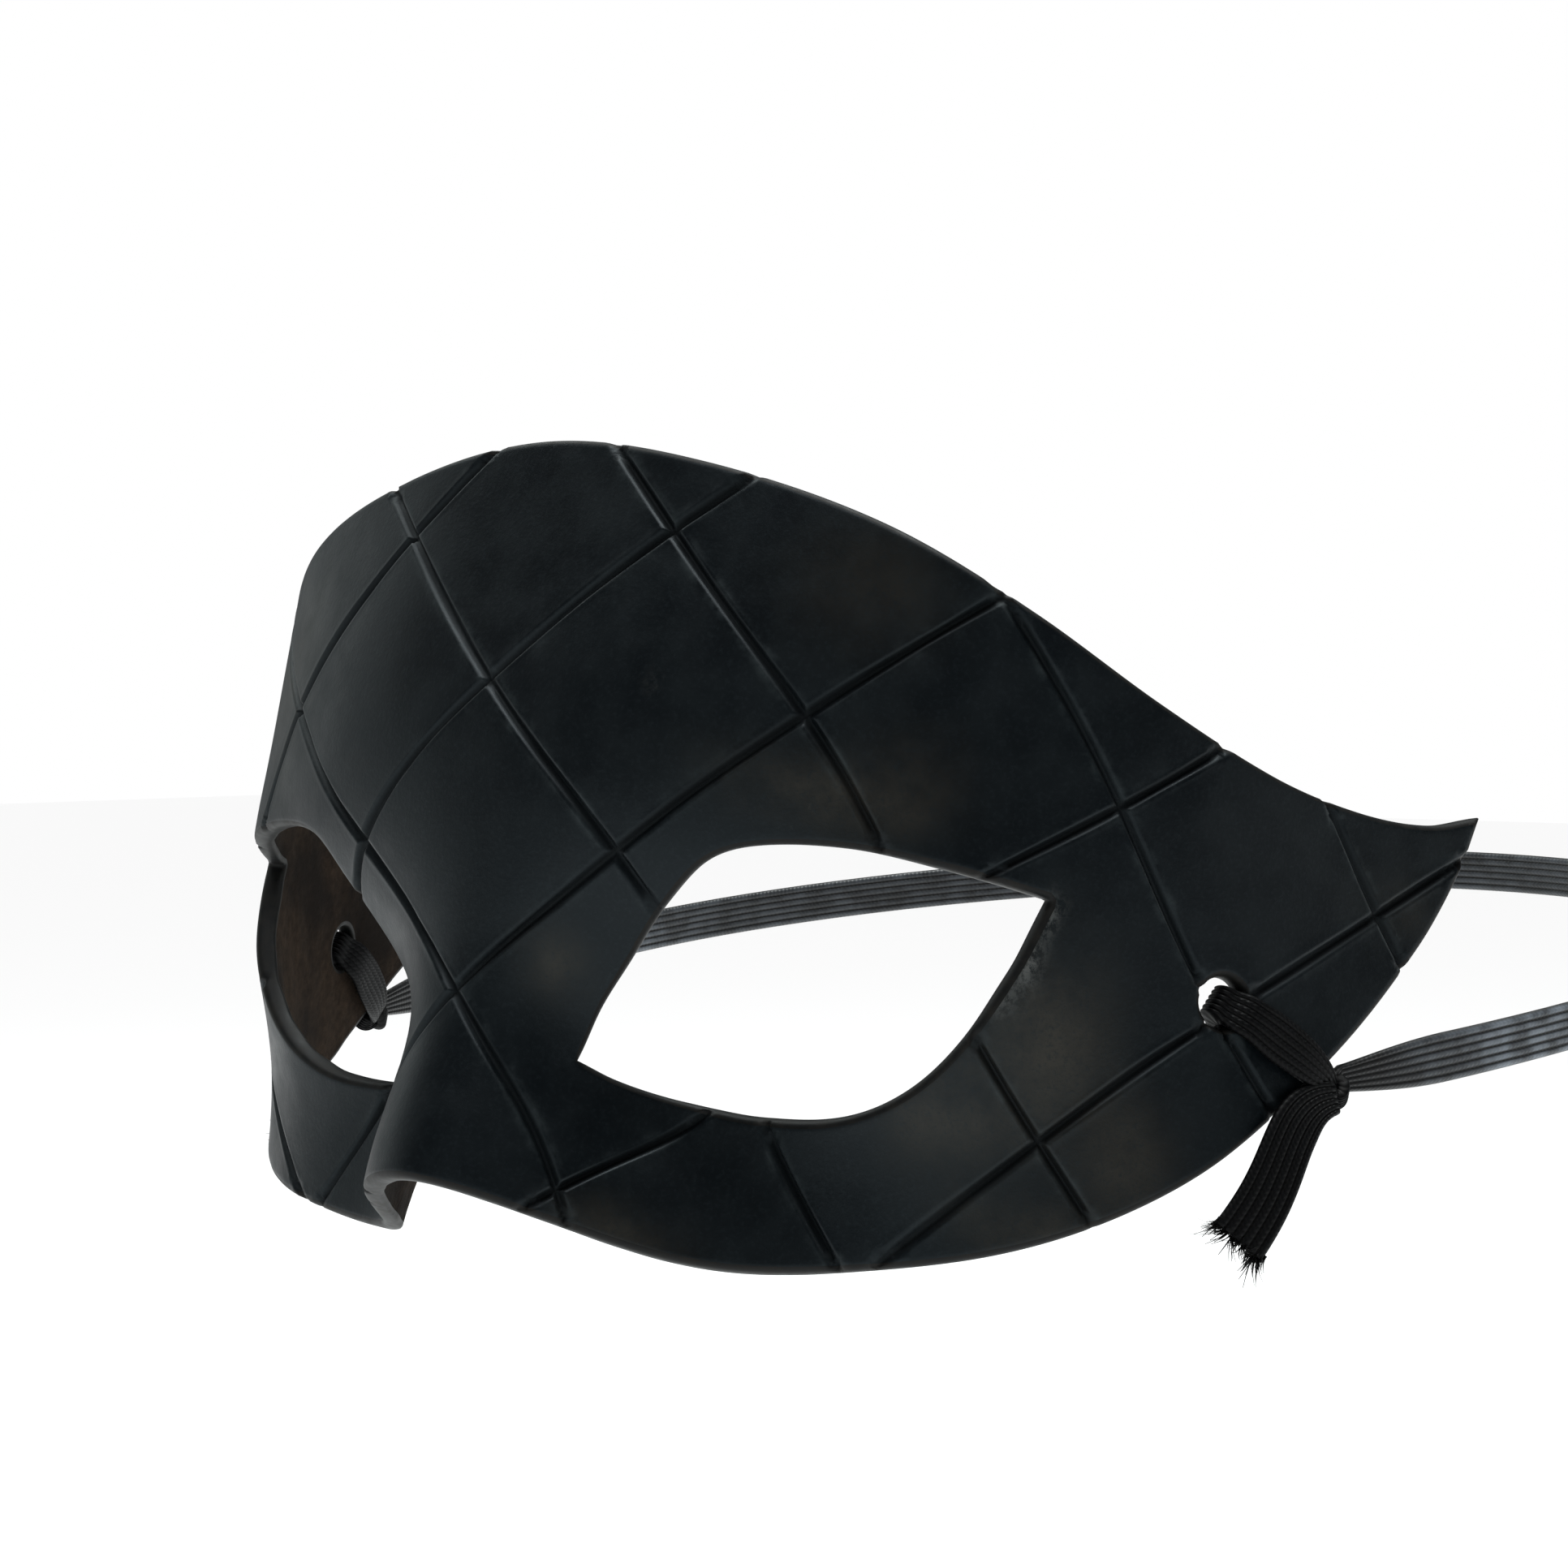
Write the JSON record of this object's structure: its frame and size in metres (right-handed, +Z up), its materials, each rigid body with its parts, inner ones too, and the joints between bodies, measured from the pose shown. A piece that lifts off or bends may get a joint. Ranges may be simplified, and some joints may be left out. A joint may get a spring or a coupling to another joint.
{
  "type": "masquerade mask",
  "caption": "Moulded leather half mask with upswept eye holes, a tooled diamond lattice and an elastic band knotted through a hole at each side.",
  "frame": {"origin": "on the inner face of the leather where it rests on the nose bridge, on the middle line at the level of the crossing grooves", "axes": "+Z up, -Y the way the wearer looks, +Y back towards the head, +X the wearer's left; the mask leans back as it is worn"},
  "size_m": [0.1482, 0.1965, 0.0809],
  "materials": {
    "leather": "black dyed vegetable-tanned leather, satin outside, raw brown flesh side inside",
    "elastic": "black flat braided elastic"
  },
  "bodies": {
    "root": {"mask_shell": "leather", "elastic_band": "elastic", "knot_left": "elastic", "knot_right": "elastic", "hole_loop_left": "elastic", "hole_loop_right": "elastic", "elastic_tail_left": "elastic", "elastic_tail_right": "elastic"}
  },
  "joints": []
}
